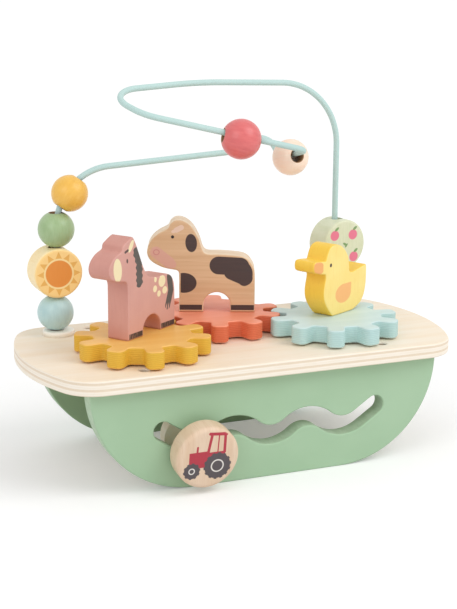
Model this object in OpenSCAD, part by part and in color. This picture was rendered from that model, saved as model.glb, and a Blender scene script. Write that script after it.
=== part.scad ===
/* [Board] */
// Length of the top board
board_l = 300; // [260:1:360]
// Depth of the top board
board_w = 142; // [134:1:180]
// Thickness of the top board
board_t = 10; // [9:0.5:16]
// Radius of the bowed ends of the board
board_end_r = 140; // [110:1:260]
// Radius of the board corners
board_corner_r = 26; // [12:1:36]

/* [Side panels] */
// Height of the side panels
panel_h = 71; // [62:1:95]
// Length of the side panels at the top
panel_l = 248; // [220:1:256]
// Thickness of the side panels
panel_t = 13; // [10:0.5:15]
// Set-back of the panels from the long edges of the board
panel_inset = 8; // [4:0.5:11]

/* [Wavy slot] */
// Width of the slot
slot_w = 13; // [12.4:0.2:16]
// Distance along the panel from a crest of the slot to the next trough
slot_half_wave = 26.5; // [22:0.25:28]
// Height from trough to crest, on the centre line
slot_wave_h = 9.5; // [6:0.5:11]
// Height of the middle of the slot above the ground
slot_mid_z = 33.7; // [30:0.1:40]
// Distance from the middle of the panel to the middle of the slot
slot_shift = 1.5; // [0:0.1:4]
// Distance from the middle of the slot to each of its round ends
slot_reach = 76.6; // [72:0.1:80]
// Height of the round ends of the slot above the ground
slot_end_z = 40.4; // [38:0.1:42]

/* [Panel screws] */
// Distance between the screws along the board
screw_span = 171; // [150:1:190]
// Diameter of the screw head
screw_head_d = 6.4; // [5.5:0.1:8]
// Diameter of the screw shank
screw_shank_d = 3.4; // [2.8:0.1:4]
// Length of the screw under its head
screw_l = 30; // [20:1:40]
// Depth of the screw head under the board face
screw_sink = 2.4; // [1:0.1:3.5]
// Height of the conical part of the screw head
screw_head_h = 1.8; // [1.2:0.1:2.4]
// Width of the cross recess arms
screw_recess_w = 0.9; // [0.6:0.1:1.2]
// Depth of the cross recess
screw_recess_depth = 0.9; // [0.5:0.1:1.1]

/* [Gears] */
// Place of the middle gear along the board
gear_x = -2.5; // [-6:0.5:6]
// Distance between the middle gear and the side gears along the board
gear_dx = 70.5; // [69:0.5:74]
// Distance between the middle gear and the side gears across the board
gear_dy = 42.5; // [41:0.5:45]
// Set-forward of the side gears from the board middle
gear_front_y = 19; // [15:0.5:20]
// Thickness of the gears
gear_t = 11.7; // [9:0.1:16]
// Height of the teeth above the pitch circle
gear_addendum = 4; // [3:0.1:4.2]
// Depth of the gaps under the pitch circle
gear_dedendum = 8.2; // [6.5:0.1:9]
// Thinning of each tooth at the pitch circle
gear_backlash = 1; // [0.8:0.1:1.6]
// Rounding of the tooth tips
tooth_tip_round = 2.4; // [1:0.1:2.8]
// Rounding at the tooth roots
tooth_root_round = 3.6; // [1:0.1:4]
// Diameter of the washers under the gears
washer_d = 26; // [18:1:40]
// Thickness of the washers
washer_t = 1; // [0.8:0.1:2]
// Diameter of the axles
axle_d = 10; // [8:0.5:12]
// Wood of the gear that covers the end of its axle
axle_sink = 2.6; // [1.8:0.1:4]
// Diameter of the axle caps
axle_cap_d = 24; // [18:1:30]
// Thickness of the axle caps
axle_cap_t = 7; // [5:0.5:10]
// Depth of the axle in its cap
axle_cap_seat = 5; // [3:0.5:5]

/* [Animals] */
// Thickness of the animals
animal_t = 17; // [14:0.5:20]
// Diameter of the animal pins
animal_pin_d = 5; // [4:0.5:6]
// Depth of the pins in the gear
pin_in_gear = 6; // [4:0.5:7]
// Depth of the pins in the animal
pin_in_animal = 9; // [6:0.5:10]
// Length of the horse from chest to rump
horse_l = 52.5; // [49:0.5:56]
// Height of the horse
horse_h = 68; // [56:1:76]
// Width of the arch between the horse's legs
horse_arch_w = 19.6; // [14:0.2:22]
// Height of the arch between the horse's legs
horse_arch_h = 12.4; // [11.5:0.2:16]
// Set-back of the horse from the gear middle
horse_back = 4.9; // [0:0.1:6]
// Length of the cow from chest to rump
cow_l = 52.5; // [49:0.5:56]
// Height of the cow
cow_h = 65; // [54:1:72]
// Width of the arch between the cow's legs
cow_arch_w = 18.8; // [14:0.2:21]
// Height of the arch between the cow's legs
cow_arch_h = 14; // [11.5:0.2:16]
// Set-back of the cow from the gear middle
cow_back = 1.6; // [0:0.1:4]
// Length of the duck from beak to tail
duck_l = 64; // [58:0.5:68]
// Height of the duck
duck_h = 50.5; // [44:0.5:58]
// Set-back of the duck from the gear middle
duck_back = 5.9; // [4:0.1:7]

/* [Wire] */
// Diameter of the wire
wire_d = 4.2; // [3.6:0.1:4.6]
// Depth of the wire ends under the board face
wire_sink = 7; // [5:0.5:7.5]
// Foot of the left leg, along and across the board
left_foot = [-110, 48]; // [-130:0.5:60]
// Foot of the right leg, along and across the board
right_foot = [101.5, 48]; // [40:0.5:130]
// Height over the board of the corner over the left leg
left_corner_z = 112.5; // [108:0.5:118]
// Corner where the rear strand starts to rise
rise_corner = [20, 48, 120]; // [-10:0.5:130]
// Corner at the top of the rise
rise_top = [36.5, 44, 130.5]; // [-10:0.5:140]
// Corner where the wire dips to the peach bead
dip_corner = [44, 36, 128]; // [-10:0.5:140]
// Corner behind the peach bead
turn_corner = [46, 26.5, 118]; // [-10:0.5:140]
// Corner of the front hook
hook_corner = [45, -19, 128.5]; // [-40:0.5:140]
// Corner at the left end of the front strand
loop_corner = [-63, 4, 154]; // [-90:0.5:170]
// Corner at the left end of the top strand
top_corner = [-79, 40, 166]; // [-100:0.5:180]
// Soft corner of the top strand
top_bend = [-7, 47, 169.5]; // [-40:0.5:180]
// Height over the board of the corner over the right leg
right_corner_z = 165.5; // [160:0.5:172]
// Bend radius over the left leg
left_bend_r = 40; // [38:0.5:44]
// Bend radius at the start of the rise
rise_bend_r = 24; // [14:0.5:28]
// Bend radius at the top of the rise
top_rise_bend_r = 10; // [6:0.5:11]
// Bend radius at the start of the dip
dip_bend_r = 13; // [6:0.5:14]
// Bend radius behind the peach bead
turn_bend_r = 11; // [6:0.5:11.5]
// Bend radius of the front hook
hook_bend_r = 7; // [6:0.5:9]
// Bend radius at the left end of the front strand
loop_bend_r = 14; // [8:0.5:18]
// Bend radius at the left end of the top strand
top_bend_r = 19; // [10:0.5:22]
// Bend radius of the soft corner
soft_bend_r = 90; // [40:1:120]
// Bend radius over the right leg
right_bend_r = 46; // [36:0.5:50]
// Diameter of the ferrule flange
ferrule_d = 22; // [16:0.5:24]
// Height of the ferrule flange
ferrule_h = 3.5; // [2:0.1:5]
// Diameter of the ferrule spigot
ferrule_spigot_d = 9; // [7:0.5:11]
// Depth of the ferrule spigot in the board
ferrule_spigot_h = 7.5; // [7.5:0.1:8]

/* [Beads] */
// Diameter of the ball beads
ball_d = 25; // [23:0.5:26]
// Diameter of the red ball bead
red_ball_d = 27; // [23:0.5:28]
// Diameter of the ball bead under the apple bead
mint_ball_d = 27; // [23:0.5:29]
// Space that the apple bead keeps over the mint bead
apple_gap = 1.15; // [0.8:0.05:3]
// Diameter of the holes in the beads
bead_hole_d = 8.7; // [7.5:0.1:9.5]
// Diameter of the sun bead
sun_d = 34; // [30:0.5:37]
// Diameter of the apple bead
apple_d = 36.5; // [30:0.5:38]
// Thickness of the disc beads
disc_bead_t = 20; // [14:0.5:22]
// Rounding of the disc bead rims
disc_bead_round = 1.8; // [1:0.1:4]
// Distance of the peach bead from the corner behind it, along the wire
peach_run = 18.5; // [18:0.1:24]
// Distance of the red bead from the hook corner, along the wire
red_run = 46; // [38:0.5:70]

/* [Knob] */
// Diameter of the knob
knob_d = 43; // [36:0.5:46]
// Thickness of the knob
knob_t = 15.5; // [12:0.5:18]
// Rounding of the knob rim
knob_round = 3.2; // [1:0.1:5]
// Space between knob and panel on the peg
knob_gap = 3.5; // [3.4:0.1:5]
// Diameter of the peg
peg_d = 10; // [8:0.2:10]
// Depth of the peg in the knob
peg_seat = 10; // [6:0.5:11]
// Diameter of the keeper behind the panel
keeper_d = 34; // [26:0.5:36]
// Thickness of the keeper
keeper_t = 8; // [5:0.5:10]
// Space between keeper and panel on the peg
keeper_gap = 2.9; // [2.8:0.1:4]
// Drop of the peg under the middle of the slot
peg_drop = 0.2; // [0:0.05:0.2]

/* [Clearances] */
// Gap between pieces that move past each other
run_gap = 0.3; // [0.3:0.05:0.5]
// Thickness of the glue film between each figure and its gear
glue_t = 0.1; // [0.05:0.05:0.2]
// Radial play of the axles in the board
axle_play = 0.1; // [0.05:0.01:0.1]
// Radial play of the washers round the axles
washer_play = 0.4; // [0.3:0.05:0.8]
// Radial play of the screws in their holes
screw_play = 0.1; // [0.05:0.01:0.2]
// Radial play of the wire in the ferrules
wire_play = 0.05; // [0.02:0.01:0.1]
// Space under blind fits
blind_gap = 0.5; // [0.2:0.1:1]

/* [Hidden] */
$fn = 96;

// Angles and counts
gear_teeth = 10;
gear_pressure = 20;
side_gear_phase = 9.5;
knob_droop = 8;
horse_turn = 34;
cow_turn = -23;
duck_turn = 28;
lean_turn = 157;
apple_turn = 10;
yellow_bead_angle = 143;
wave_steps = 12;
curve_steps = 4;

// Heights
board_z = panel_h;
face_z = board_z + board_t;
gear_z = face_z + washer_t + run_gap;
animal_z = gear_z + gear_t;
bead_seat_z = face_z + ferrule_h + run_gap;
eps_share = 0.01;
cut = eps_share * board_t;

// Side panel and slot places
panel_y = board_w / 2 - panel_inset - panel_t / 2;
wave_angle = 2 * atan(slot_wave_h / slot_half_wave);
wave_r = slot_half_wave / (2 * sin(wave_angle));
trough_z = slot_mid_z - slot_wave_h / 2;
crest_z = slot_mid_z + slot_wave_h / 2;
slot_run = slot_reach - 2 * slot_half_wave;
slot_rise = slot_end_z - trough_z;
// The last bend is as wide as the others, or as wide as still leads to the end of the slot
slot_end_r = min(wave_r, (slot_run * slot_run + slot_rise * slot_rise) / (2 * slot_rise));
slot_end_turn = atan2(slot_run, slot_end_r - slot_rise);
slot_end_far = norm([slot_run, slot_end_r - slot_rise]);
slot_end_angle = slot_end_turn - acos(min(1, slot_end_r / slot_end_far));
knob_x = slot_shift - 2 * slot_half_wave;
peg_z = trough_z - peg_drop;

// The frame sits under the middle of the whole toy, knob included
knob_reach = (panel_t / 2 + knob_gap + knob_t - knob_round) * cos(knob_droop)
    + (knob_d / 2 - knob_round) * sin(knob_droop) + knob_round;
frame_y = (panel_y + knob_reach - board_w / 2) / 2;

// Gear places
gear_pitch_r = sqrt(gear_dx * gear_dx + gear_dy * gear_dy) / 2;
gear_base_r = gear_pitch_r * cos(gear_pressure);
gear_tip_r = gear_pitch_r + gear_addendum;
gear_root_r = gear_pitch_r - gear_dedendum;
mesh_angle = atan2(gear_dy, gear_dx);
yellow_at = [gear_x - gear_dx, -gear_front_y];
coral_at = [gear_x, gear_dy - gear_front_y];
blue_at = [gear_x + gear_dx, -gear_front_y];
coral_phase = 2 * mesh_angle + 180 + 180 / gear_teeth - side_gear_phase;
blue_phase = -2 * mesh_angle + 180 + 180 / gear_teeth - coral_phase;

// Outlines of the animals, as shares of length and height, with a roundness share
horse_shares = [
    [0, 0, 0], [1, 0, 0], [1, 0.353, 0.6], [0.963, 0.471, 1], [0.852, 0.535, 1], [0.593, 0.544, 1],
    [0.426, 0.581, 1], [0.333, 0.676, 1], [0.25, 0.809, 1], [0.176, 0.926, 1], [0.102, 0.997, 0.6],
    [-0.083, 0.935, 0.6], [-0.111, 0.885, 0.6], [-0.244, 0.849, 1], [-0.344, 0.785, 1],
    [-0.374, 0.713, 1], [-0.33, 0.644, 1], [-0.222, 0.612, 1], [-0.046, 0.581, 0.3], [0, 0.515, 0.5]
];
cow_shares = [
    [0, 0, 0], [1, 0, 0], [1, 0.415, 0.6], [0.962, 0.523, 1], [0.849, 0.605, 1], [0.566, 0.631, 1],
    [0.377, 0.635, 1], [0.311, 0.677, 1], [0.264, 0.792, 1], [0.179, 0.915, 1], [0.075, 0.985, 1],
    [-0.038, 1, 1], [-0.113, 0.962, 1], [-0.151, 0.908, 1], [-0.264, 0.858, 1], [-0.366, 0.785, 1],
    [-0.415, 0.692, 1], [-0.415, 0.615, 1], [-0.358, 0.546, 1], [-0.208, 0.482, 1],
    [-0.038, 0.455, 0.3], [0, 0.415, 0.4]
];
duck_shares = [
    [0.371, 0, 0.3], [0.739, 0, 0.3], [0.833, 0.038, 1], [0.906, 0.085, 1], [0.961, 0.175, 1],
    [0.992, 0.302, 1], [1, 0.444, 1], [0.998, 0.565, 0.7], [0.984, 0.601, 0.6], [0.925, 0.593, 0.8],
    [0.828, 0.571, 1], [0.72, 0.548, 0.9], [0.67, 0.575, 0.9], [0.66, 0.655, 1], [0.646, 0.762, 1],
    [0.615, 0.829, 1], [0.563, 0.905, 1], [0.487, 0.964, 1], [0.379, 0.998, 1], [0.293, 0.964, 1],
    [0.244, 0.877, 1], [0.216, 0.802, 0.5], [0.128, 0.813, 0.8], [0.025, 0.817, 0.8], [0, 0.758, 1],
    [0.016, 0.681, 0.8], [0.108, 0.639, 0.8], [0.21, 0.611, 0.5], [0.219, 0.546, 1], [0.2, 0.456, 1],
    [0.189, 0.357, 1], [0.196, 0.278, 1], [0.216, 0.214, 1], [0.254, 0.143, 1], [0.308, 0.065, 1]
];
horse_axis_share = 0.385;
cow_axis_share = 0.495;
duck_axis_share = 0.44;
duck_pin_shares = [0.567, 0.707];

// Shares of the play by which the loose beads lean on the wire
blue_lean_share = 1;
sun_lean_share = 1;
green_lean_share = 0.2;
apple_lean_share = -1;

// Wire corners from foot to foot, with heights from the ground
wire_at = [
    [left_foot[0], left_foot[1], face_z - wire_sink],
    [left_foot[0], left_foot[1], face_z + left_corner_z],
    rise_corner + [0, 0, face_z],
    rise_top + [0, 0, face_z],
    dip_corner + [0, 0, face_z],
    turn_corner + [0, 0, face_z],
    hook_corner + [0, 0, face_z],
    loop_corner + [0, 0, face_z],
    top_corner + [0, 0, face_z],
    top_bend + [0, 0, face_z],
    [right_foot[0], right_foot[1], face_z + right_corner_z],
    [right_foot[0], right_foot[1], face_z - wire_sink]
];
wire_r = [
    0, left_bend_r, rise_bend_r, top_rise_bend_r, dip_bend_r, turn_bend_r, hook_bend_r,
    loop_bend_r, top_bend_r, soft_bend_r, right_bend_r, 0
];
wire_last = len(wire_at) - 1;
knuckle_share = 1.05;
knuckle_turn = 25;
knuckle_gap_share = 0.08;
knuckle_gap = knuckle_gap_share * wire_d;

// Bead places
ball_half = sqrt(pow(ball_d / 2, 2) - pow(bead_hole_d / 2, 2));
mint_half = sqrt(pow(mint_ball_d / 2, 2) - pow(bead_hole_d / 2, 2));
sun_half = sun_d / 2;
apple_half = apple_d / 2;
blue_bead_z = bead_seat_z + ball_half;
sun_bead_z = blue_bead_z + ball_half + run_gap + sun_half;
green_bead_z = sun_bead_z + sun_half + run_gap + ball_half;
mint_bead_z = bead_seat_z + mint_half;
apple_bead_z = mint_bead_z + mint_half + apple_gap + apple_half;
bead_hang = (bead_hole_d - wire_d) / 2 - run_gap;
left_bend_at = wire_at[1] + bend_in(1) * (left_bend_r / sin(bend_open(1) / 2));
yellow_ring_r = left_bend_r - bead_hang;
yellow_bead_at = left_bend_at + yellow_ring_r * [cos(yellow_bead_angle), 0, sin(yellow_bead_angle)];
peach_way = unit(wire_at[6] - wire_at[5]);
peach_bead_at = wire_at[5] + peach_way * peach_run + hang(peach_way);
red_way = unit(wire_at[7] - wire_at[6]);
red_bead_at = wire_at[6] + red_way * red_run + hang(red_way);

// Vector helpers
function unit(v) = v / norm(v);
function side_of(d) = unit(abs(d[2]) < 0.9 ? cross([0, 0, 1], d) : cross([1, 0, 0], d));
function hang(d) = -bead_hang * unit([0, 0, 1] - d * d[2]);
function polar(r, a) = [r * cos(a), r * sin(a)];
function lean(foot, z, share) = [foot[0], foot[1], z] + share * bead_hang * [cos(lean_turn), sin(lean_turn), 0];

// Wire bends: directions, opening and turn of a corner, and what the bend takes from its legs
function leg_back(i) = unit(wire_at[i - 1] - wire_at[i]);
function leg_on(i) = unit(wire_at[i + 1] - wire_at[i]);
function bend_in(i) = unit(leg_back(i) + leg_on(i));
function bend_open(i) = acos(leg_back(i) * leg_on(i));
function bend_turn(i) = 180 - bend_open(i);
function bend_leg(i) = i == 0 || i == wire_last ? 0 : wire_r[i] * tan(bend_turn(i) / 2);

// Smooth closed outline through share points
function share_point(s, i, l, h) = [s[(i + len(s)) % len(s)][0] * l, s[(i + len(s)) % len(s)][1] * h];
function share_round(s, i) = s[(i + len(s)) % len(s)][2];
function share_slope(s, i, l, h) = share_round(s, i) * (share_point(s, i + 1, l, h) - share_point(s, i - 1, l, h)) / 2;
function between(a, b, m, n, t) = a * (2 * t * t * t - 3 * t * t + 1) + m * (t * t * t - 2 * t * t + t)
    + b * (3 * t * t - 2 * t * t * t) + n * (t * t * t - t * t);
function steps_of(s, i) = share_round(s, i) == 0 && share_round(s, i + 1) == 0 ? 1 : curve_steps;
function outline(s, l, h) = [
    for (i = [0 : len(s) - 1])
    for (k = [0 : steps_of(s, i) - 1])
    between(share_point(s, i, l, h), share_point(s, i + 1, l, h),
        share_slope(s, i, l, h), share_slope(s, i + 1, l, h), k / steps_of(s, i))
];

// Gear tooth: half angle at a radius, corner rounding and one tooth's points
function roll(r) = tan(acos(gear_base_r / r)) * 180 / PI - acos(gear_base_r / r);
function arc_angle(w, r) = w / r * 180 / PI;
function pitch_half() = 90 / gear_teeth - arc_angle(gear_backlash / 2, gear_pitch_r);
function half_at(r) = pitch_half() + roll(gear_pitch_r) - roll(max(r, gear_base_r));
function soft(a, b, c, t) = a * (1 - t) * (1 - t) + b * 2 * t * (1 - t) + c * t * t;
function flank(r) = polar(r, half_at(r));
function root_gap() = 180 / gear_teeth;
function tooth_side() = concat(
    [polar(gear_tip_r, 0)],
    [for (t = [0 : 0.25 : 1]) soft(polar(gear_tip_r, half_at(gear_tip_r) - arc_angle(tooth_tip_round, gear_tip_r)),
        flank(gear_tip_r), flank(gear_tip_r - tooth_tip_round), t)],
    [flank(gear_pitch_r)],
    [for (t = [0 : 0.25 : 1]) soft(flank(gear_root_r + tooth_root_round), flank(gear_root_r),
        polar(gear_root_r, half_at(gear_root_r) + arc_angle(tooth_root_round, gear_root_r)), t)],
    [polar(gear_root_r, root_gap())]
);
function spin(p, a) = [p[0] * cos(a) - p[1] * sin(a), p[0] * sin(a) + p[1] * cos(a)];
function gear_points() = let (s = tooth_side(), n = len(s)) [
    for (k = [0 : gear_teeth - 1])
    for (i = [-(n - 2) : n - 1])
    spin(i < 0 ? [s[-i][0], -s[-i][1]] : s[i], k * 360 / gear_teeth)
];

// Slot edges: centre line arcs moved sideways by half the slot width
function wave_point(x, side, r, a, off) = [
    x + (r + side * off) * sin(a),
    side > 0 ? crest_z - r + (r + off) * cos(a) : trough_z + r - (r - off) * cos(a)
];
// The straight rise to a round end; a last bend that leads to the end by itself needs none
function wave_end(side, off) = slot_end_r < wave_r ? [] : [[
    slot_shift + side * (slot_reach - off * sin(slot_end_angle)),
    slot_end_z + off * cos(slot_end_angle)
]];
function bend_r(j, a) = abs(j) == 2 && j * a > 0 ? slot_end_r : wave_r;
function wave_from(j) = j == -2 ? -slot_end_angle : -wave_angle;
function wave_to(j) = j == 2 ? slot_end_angle : wave_angle;
function wave_row(off) = concat(
    wave_end(-1, off),
    [for (j = [-2 : 2]) for (k = [j == -2 ? 0 : 1 : wave_steps])
        let (a = wave_from(j) + (wave_to(j) - wave_from(j)) * k / wave_steps)
        wave_point(slot_shift + j * slot_half_wave, j % 2 == 0 ? -1 : 1, bend_r(j, a), a, off)],
    wave_end(1, off)
);
function turned(p) = [for (i = [len(p) - 1 : -1 : 0]) p[i]];

module whole() {
    translate([0, frame_y, 0])
        children();
}

module along(at, dir) {
    u = side_of(dir);
    v = cross(dir, u);
    multmatrix([
        [u[0], v[0], dir[0], at[0]],
        [u[1], v[1], dir[1], at[1]],
        [u[2], v[2], dir[2], at[2]],
        [0, 0, 0, 1]
    ])
        children();
}

// Board
module board_quarter_cut() {
    end_x = board_l / 2 - board_end_r;
    cy = board_w / 2 - board_corner_r;
    cx = end_x + sqrt(pow(board_end_r - board_corner_r, 2) - cy * cy);
    way = unit([cx - end_x, cy]);
    far = board_l;
    difference() {
        polygon([
            [cx, cy], [cx, cy + far], [cx + far, cy + far],
            [cx + far * way[0], cy + far * way[1]]
        ]);
        translate([cx, cy])
            circle(r = board_corner_r);
    }
}

module board_end_cut() {
    end_x = board_l / 2 - board_end_r;
    difference() {
        translate([end_x, -board_w])
            square([board_l, 2 * board_w]);
        translate([end_x, 0])
            circle(r = board_end_r, $fn = 360);
    }
}

module board_outline() {
    difference() {
        square([board_l + board_w, board_w], center = true);
        for (x = [0, 1])
            mirror([x, 0])
                board_end_cut();
        for (x = [0, 1])
            for (y = [0, 1])
                mirror([x, 0])
                    mirror([0, y])
                        board_quarter_cut();
    }
}

module at_screws() {
    for (x = [-1, 1])
        for (y = [-1, 1])
            translate([x * screw_span / 2, y * panel_y, face_z - screw_sink])
                children();
}

module screw_holes() {
    at_screws() {
        translate([0, 0, -screw_play])
            cylinder(h = screw_sink + screw_play + cut, d = screw_head_d + 2 * screw_play);
        translate([0, 0, -screw_head_h - screw_play])
            cylinder(h = screw_head_h, d1 = screw_shank_d + 2 * screw_play, d2 = screw_head_d + 2 * screw_play);
        translate([0, 0, -screw_l - blind_gap])
            cylinder(h = screw_l, d = screw_shank_d + 2 * screw_play);
    }
}

module at_gears() {
    for (p = [yellow_at, coral_at, blue_at])
        translate([p[0], p[1], 0])
            children();
}

module top_board() {
    color([0.93, 0.86, 0.74])
        whole()
            difference() {
                translate([0, 0, board_z])
                    linear_extrude(board_t)
                        board_outline();
                screw_holes();
                at_gears()
                    translate([0, 0, board_z - cut])
                        cylinder(h = board_t + 2 * cut, d = axle_d + 2 * axle_play);
                for (p = [left_foot, right_foot])
                    translate([p[0], p[1], face_z - ferrule_spigot_h - blind_gap])
                        cylinder(h = ferrule_spigot_h + blind_gap + cut, d = ferrule_spigot_d);
            }
}

// Side panels
module panel_outline() {
    intersection() {
        union() {
            translate([panel_h - panel_l / 2, panel_h])
                circle(r = panel_h, $fn = 240);
            translate([panel_l / 2 - panel_h, panel_h])
                circle(r = panel_h, $fn = 240);
            translate([panel_h - panel_l / 2, 0])
                square([panel_l - 2 * panel_h, panel_h]);
        }
        translate([-panel_l / 2 - cut, -cut])
            square([panel_l + 2 * cut, panel_h + cut]);
    }
}

module slot_outline() {
    polygon(concat(wave_row(slot_w / 2), turned(wave_row(-slot_w / 2))));
    for (side = [-1, 1])
        translate([slot_shift + side * slot_reach, slot_end_z])
            circle(d = slot_w);
}

module panel_blank(y) {
    translate([0, y + panel_t / 2, 0])
        rotate([90, 0, 0])
            linear_extrude(panel_t)
                children();
}

module front_panel() {
    color([0.65, 0.77, 0.64])
        whole()
            difference() {
                panel_blank(-panel_y)
                    difference() {
                        panel_outline();
                        slot_outline();
                    }
                screw_holes();
            }
}

module back_panel() {
    color([0.65, 0.77, 0.64])
        whole()
            difference() {
                panel_blank(panel_y)
                    panel_outline();
                screw_holes();
            }
}

module panel_screws() {
    color([0.35, 0.33, 0.3])
        whole()
            at_screws()
                difference() {
                    union() {
                        translate([0, 0, -screw_head_h])
                            cylinder(h = screw_head_h, d1 = screw_shank_d, d2 = screw_head_d);
                        translate([0, 0, -screw_l])
                            cylinder(h = screw_l - screw_head_h / 2, d = screw_shank_d);
                    }
                    for (a = [0, 90])
                        rotate(a)
                            translate([-screw_shank_d / 2, -screw_recess_w / 2, -screw_recess_depth])
                                cube([screw_shank_d, screw_recess_w, screw_recess_depth + cut]);
                }
}

// Gears
module gear_washers() {
    color([0.9, 0.9, 0.88])
        whole()
            at_gears()
                translate([0, 0, face_z])
                    difference() {
                        cylinder(h = washer_t, d = washer_d);
                        translate([0, 0, -cut])
                            cylinder(h = washer_t + 2 * cut, d = axle_d + 2 * washer_play);
                    }
}

module gear(at, phase, turn, pins) {
    whole()
        translate([at[0], at[1], gear_z])
            difference() {
                rotate(phase)
                    linear_extrude(gear_t)
                        polygon(gear_points());
                translate([0, 0, -cut])
                    cylinder(h = gear_t - axle_sink + blind_gap + cut, d = axle_d);
                rotate(turn)
                    for (p = pins)
                        translate([p[0], p[1], gear_t - pin_in_gear])
                            cylinder(h = pin_in_gear + cut, d = animal_pin_d);
            }
}

module axle(at) {
    low = board_z - run_gap - axle_cap_seat;
    color([0.86, 0.72, 0.52])
        whole()
            translate([at[0], at[1], low])
                cylinder(h = animal_z - axle_sink - low, d = axle_d);
}

module axle_cap(at) {
    color([0.86, 0.72, 0.52])
        whole()
            translate([at[0], at[1], board_z - run_gap - axle_cap_t])
                difference() {
                    cylinder(h = axle_cap_t, d = axle_cap_d);
                    translate([0, 0, axle_cap_t - axle_cap_seat])
                        cylinder(h = axle_cap_seat + cut, d = axle_d);
                }
}

module pins(at, turn, places) {
    color([0.86, 0.72, 0.52])
        whole()
            translate([at[0], at[1], animal_z - pin_in_gear])
                rotate(turn)
                    for (p = places)
                        translate([p[0], p[1], 0])
                            cylinder(h = pin_in_gear + pin_in_animal, d = animal_pin_d);
}

// Pin places from the gear axis, in the middle of the legs beside the arch
function leg_pins(l, arch_w, axis_share, back) = [
    for (side = [-1, 1]) [l / 2 - axis_share * l + side * (l + arch_w) / 4, back]
];
horse_pin_at = leg_pins(horse_l, horse_arch_w, horse_axis_share, horse_back);
cow_pin_at = leg_pins(cow_l, cow_arch_w, cow_axis_share, cow_back);
duck_pin_at = [for (share = duck_pin_shares) [(share - duck_axis_share) * duck_l, duck_back]];

module animal(at, turn, shares, l, h, axis_share, back, places) {
    whole()
        translate([at[0], at[1], animal_z + glue_t])
            rotate(turn)
                difference() {
                    translate([-axis_share * l, back + animal_t / 2, 0])
                        rotate([90, 0, 0])
                            linear_extrude(animal_t)
                                polygon(outline(shares, l, h));
                    for (p = places)
                        translate([p[0], p[1], -cut])
                            cylinder(h = pin_in_animal + cut, d = animal_pin_d);
                    translate([l / 2 - axis_share * l, back, 0])
                        children();
                }
}

module arch(w, h) {
    translate([-w / 2, -animal_t, -cut])
        cube([w, 2 * animal_t, h - w / 2 + cut]);
    translate([0, animal_t, h - w / 2])
        rotate([90, 0, 0])
            cylinder(h = 2 * animal_t, d = w);
}

module yellow_gear() {
    color([0.96, 0.77, 0.36])
        gear(yellow_at, side_gear_phase, horse_turn, horse_pin_at);
}

module yellow_axle() {
    axle(yellow_at);
}

module yellow_axle_cap() {
    axle_cap(yellow_at);
}

module horse() {
    color([0.83, 0.58, 0.53])
        animal(yellow_at, horse_turn, horse_shares, horse_l, horse_h, horse_axis_share, horse_back, horse_pin_at)
            arch(horse_arch_w, horse_arch_h);
}

module horse_pins() {
    pins(yellow_at, horse_turn, horse_pin_at);
}

module coral_gear() {
    color([0.93, 0.53, 0.39])
        gear(coral_at, coral_phase, cow_turn, cow_pin_at);
}

module coral_axle() {
    axle(coral_at);
}

module coral_axle_cap() {
    axle_cap(coral_at);
}

module cow() {
    color([0.83, 0.66, 0.49])
        animal(coral_at, cow_turn, cow_shares, cow_l, cow_h, cow_axis_share, cow_back, cow_pin_at)
            arch(cow_arch_w, cow_arch_h);
}

module cow_pins() {
    pins(coral_at, cow_turn, cow_pin_at);
}

module blue_gear() {
    color([0.78, 0.89, 0.88])
        gear(blue_at, blue_phase, duck_turn, duck_pin_at);
}

module blue_axle() {
    axle(blue_at);
}

module blue_axle_cap() {
    axle_cap(blue_at);
}

module duck() {
    color([0.98, 0.83, 0.46])
        animal(blue_at, duck_turn, duck_shares, duck_l, duck_h, duck_axis_share, duck_back, duck_pin_at);
}

module duck_pins() {
    pins(blue_at, duck_turn, duck_pin_at);
}

// Wire: straight legs and round bends, joined by small knuckles
module wire_leg(i) {
    way = leg_on(i);
    low = bend_leg(i) + (i == 0 ? 0 : knuckle_gap);
    high = bend_leg(i + 1) + (i == wire_last - 1 ? 0 : knuckle_gap);
    along(wire_at[i] + way * low, way)
        cylinder(h = norm(wire_at[i + 1] - wire_at[i]) - low - high, d = wire_d);
}

module wire_bend(i) {
    middle = wire_at[i] + bend_in(i) * (wire_r[i] / sin(bend_open(i) / 2));
    start = unit(wire_at[i] + leg_back(i) * bend_leg(i) - middle);
    way = -leg_back(i);
    up = cross(start, way);
    skip = arc_angle(knuckle_gap, wire_r[i]);
    multmatrix([
        [start[0], way[0], up[0], middle[0]],
        [start[1], way[1], up[1], middle[1]],
        [start[2], way[2], up[2], middle[2]],
        [0, 0, 0, 1]
    ])
        rotate(skip)
            rotate_extrude(angle = bend_turn(i) - 2 * skip)
                translate([wire_r[i], 0])
                    circle(d = wire_d);
}

module wire_knuckle(at, way) {
    along(at, way)
        rotate(knuckle_turn)
            sphere(d = wire_d * knuckle_share, $fn = 48);
}

module wire() {
    color([0.74, 0.86, 0.83])
        whole() {
            for (i = [0 : wire_last - 1])
                wire_leg(i);
            for (i = [1 : wire_last - 1])
                wire_bend(i);
            for (i = [1 : wire_last - 1]) {
                wire_knuckle(wire_at[i] + leg_back(i) * bend_leg(i), leg_back(i));
                wire_knuckle(wire_at[i] + leg_on(i) * bend_leg(i), leg_on(i));
            }
        }
}

module ferrule(foot) {
    color([0.96, 0.96, 0.94])
        whole()
            translate([foot[0], foot[1], face_z])
                difference() {
                    union() {
                        cylinder(h = ferrule_h, d = ferrule_d);
                        translate([0, 0, -ferrule_spigot_h])
                            cylinder(h = ferrule_spigot_h + cut, d = ferrule_spigot_d);
                    }
                    translate([0, 0, -ferrule_spigot_h - cut])
                        cylinder(h = ferrule_spigot_h + ferrule_h + 2 * cut, d = wire_d + 2 * wire_play);
                }
}

module left_ferrule() {
    ferrule(left_foot);
}

module right_ferrule() {
    ferrule(right_foot);
}

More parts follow.
